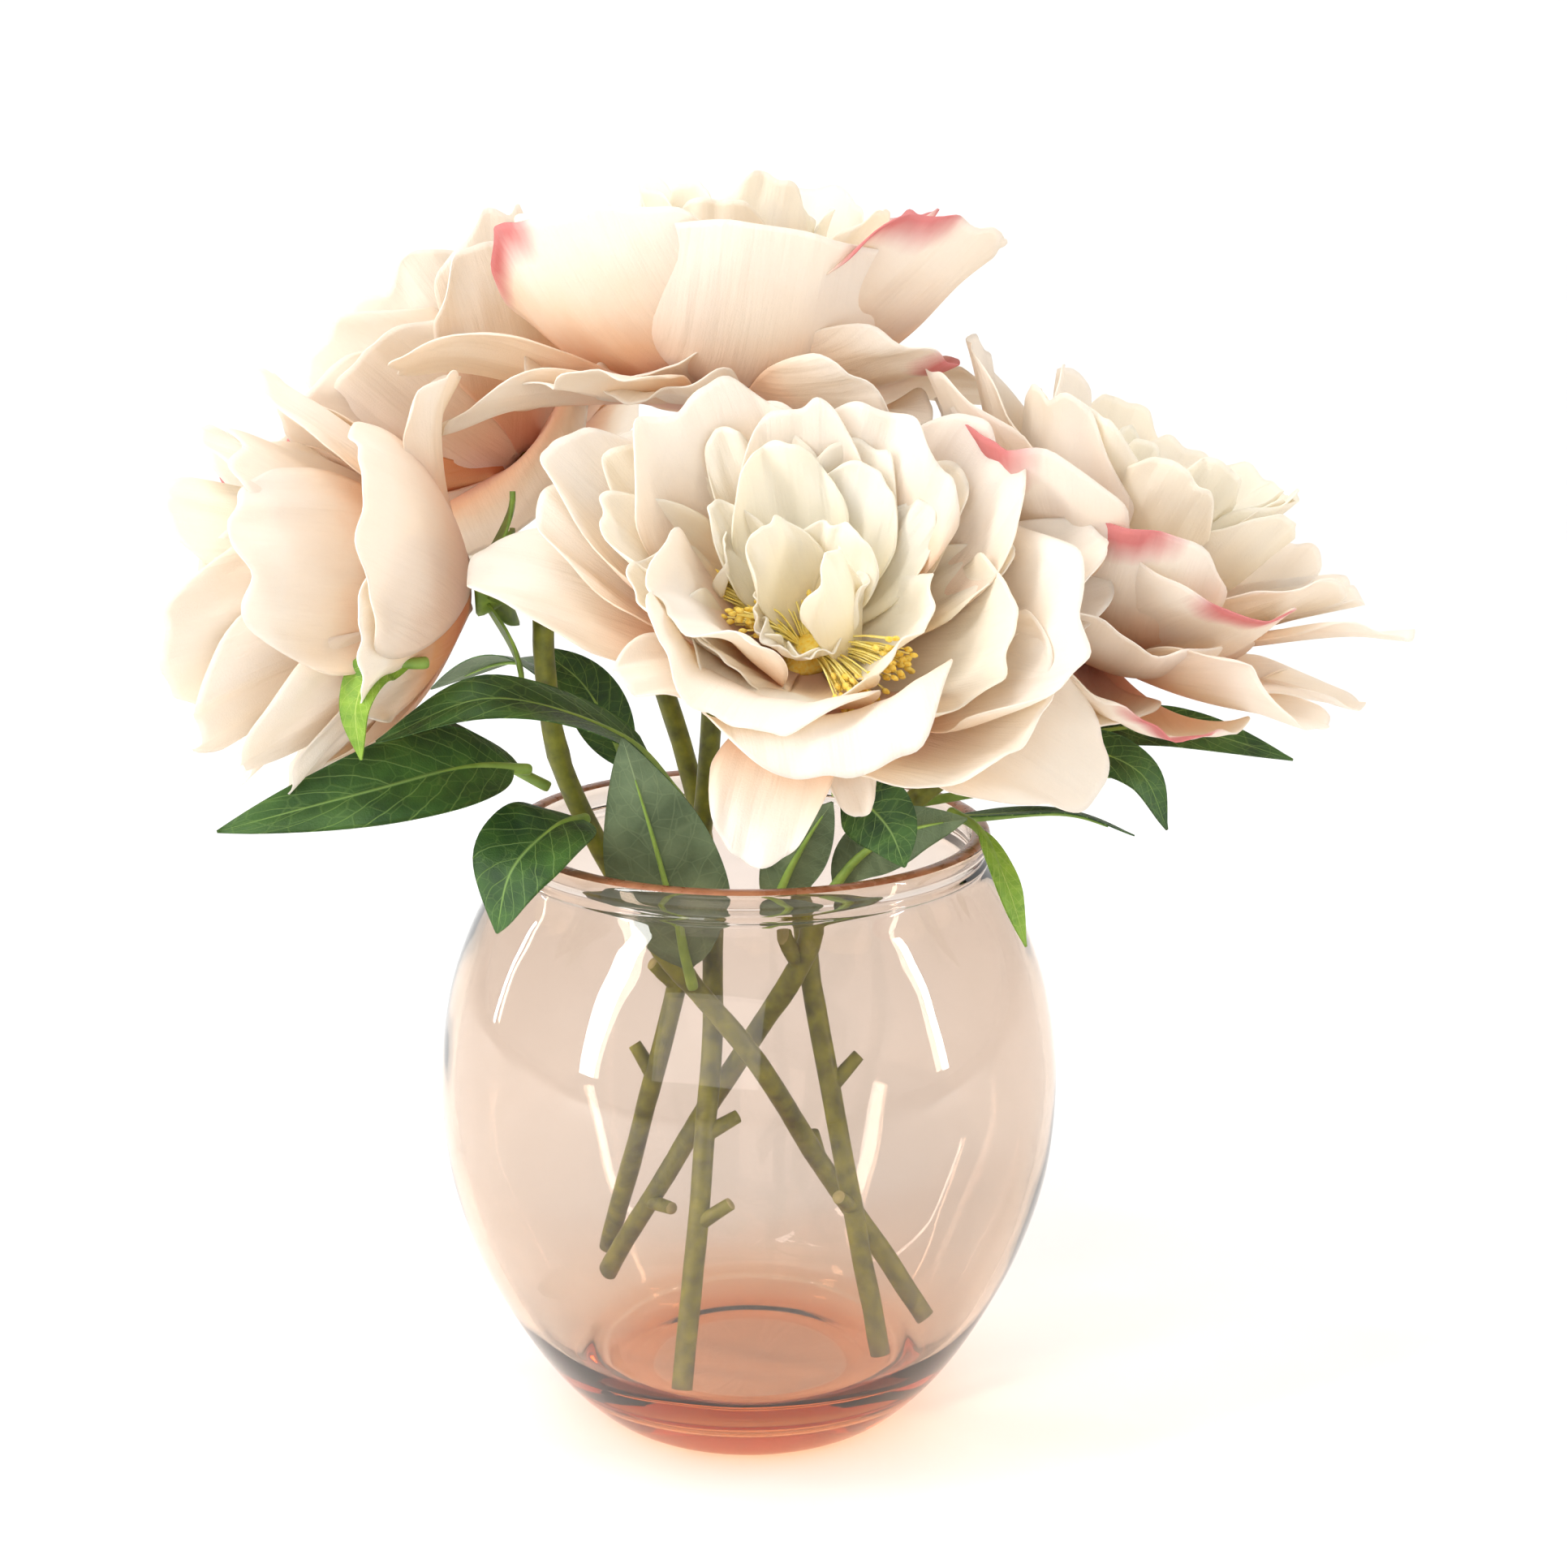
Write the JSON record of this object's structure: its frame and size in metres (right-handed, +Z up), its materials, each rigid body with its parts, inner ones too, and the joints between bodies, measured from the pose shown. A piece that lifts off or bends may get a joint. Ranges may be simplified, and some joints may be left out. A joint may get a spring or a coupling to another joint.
{
  "type": "artificial peonies in a vase",
  "caption": "Faux peach-ivory peonies with dark green leaves, on plastic stems standing loose in a clear blush-pink glass jar vase.",
  "frame": {"origin": "centre of the vase's foot, on the surface that it stands on", "axes": "+Z up, -Y towards the front bloom, +X to the viewer's right of it"},
  "size_m": [0.2565, 0.2125, 0.2842],
  "materials": {
    "pink_glass": "clear blush pink, smooth",
    "petal_cloth": "matte stiffened cloth, ivory edge, peach root",
    "petal_cloth_inner": "matte stiffened cloth, cream",
    "stamen_thread": "yellow thread with dipped tips",
    "stem_plastic": "olive green coating",
    "calyx_plastic": "yellow-green",
    "leaf_cloth": "printed dark green, grey-green underside"
  },
  "bodies": {
    "root": {"vase": "pink_glass", "top_peony_stem": "stem_plastic", "top_peony_calyx": "calyx_plastic", "top_peony_guard_petals": "petal_cloth", "top_peony_outer_petals": "petal_cloth", "top_peony_middle_petals": "petal_cloth_inner", "top_peony_inner_petals": "petal_cloth_inner", "top_peony_heart_petals": "petal_cloth_inner", "top_peony_stamens": "stamen_thread", "front_peony_stem": "stem_plastic", "front_peony_calyx": "calyx_plastic", "front_peony_guard_petals": "petal_cloth", "front_peony_outer_petals": "petal_cloth", "front_peony_middle_petals": "petal_cloth_inner", "front_peony_inner_petals": "petal_cloth_inner", "front_peony_heart_petals": "petal_cloth_inner", "front_peony_stamens": "stamen_thread", "left_peony_stem": "stem_plastic", "left_peony_calyx": "calyx_plastic", "left_peony_guard_petals": "petal_cloth", "left_peony_outer_petals": "petal_cloth", "left_peony_middle_petals": "petal_cloth_inner", "left_peony_inner_petals": "petal_cloth_inner", "left_peony_heart_petals": "petal_cloth_inner", "left_peony_stamens": "stamen_thread", "right_peony_stem": "stem_plastic", "right_peony_calyx": "calyx_plastic", "right_peony_guard_petals": "petal_cloth", "right_peony_outer_petals": "petal_cloth", "right_peony_middle_petals": "petal_cloth_inner", "right_peony_inner_petals": "petal_cloth_inner", "right_peony_heart_petals": "petal_cloth_inner", "right_peony_stamens": "stamen_thread", "back_peony_stem": "stem_plastic", "back_peony_calyx": "calyx_plastic", "back_peony_guard_petals": "petal_cloth", "back_peony_outer_petals": "petal_cloth", "back_peony_middle_petals": "petal_cloth_inner", "back_peony_inner_petals": "petal_cloth_inner", "back_peony_heart_petals": "petal_cloth_inner", "back_peony_stamens": "stamen_thread", "leaf_left_long": "leaf_cloth", "leaf_left_thin": "leaf_cloth", "leaf_rim_left": "leaf_cloth", "leaf_mouth_front": "leaf_cloth", "leaf_left_arch": "leaf_cloth", "leaf_left_dark": "leaf_cloth", "leaf_left_hanging": "leaf_cloth", "leaf_right_arc": "leaf_cloth", "leaf_right_dark": "leaf_cloth", "leaf_right_thin_low": "leaf_cloth", "leaf_right_thin_high": "leaf_cloth", "leaf_rim_right": "leaf_cloth", "leaf_front_center": "leaf_cloth", "leaf_mouth_center": "leaf_cloth", "leaf_mouth_right": "leaf_cloth", "leaf_back_left": "leaf_cloth", "leaf_back_center": "leaf_cloth", "leaf_back_right": "leaf_cloth", "leaf_back_high": "leaf_cloth"}
  },
  "joints": []
}
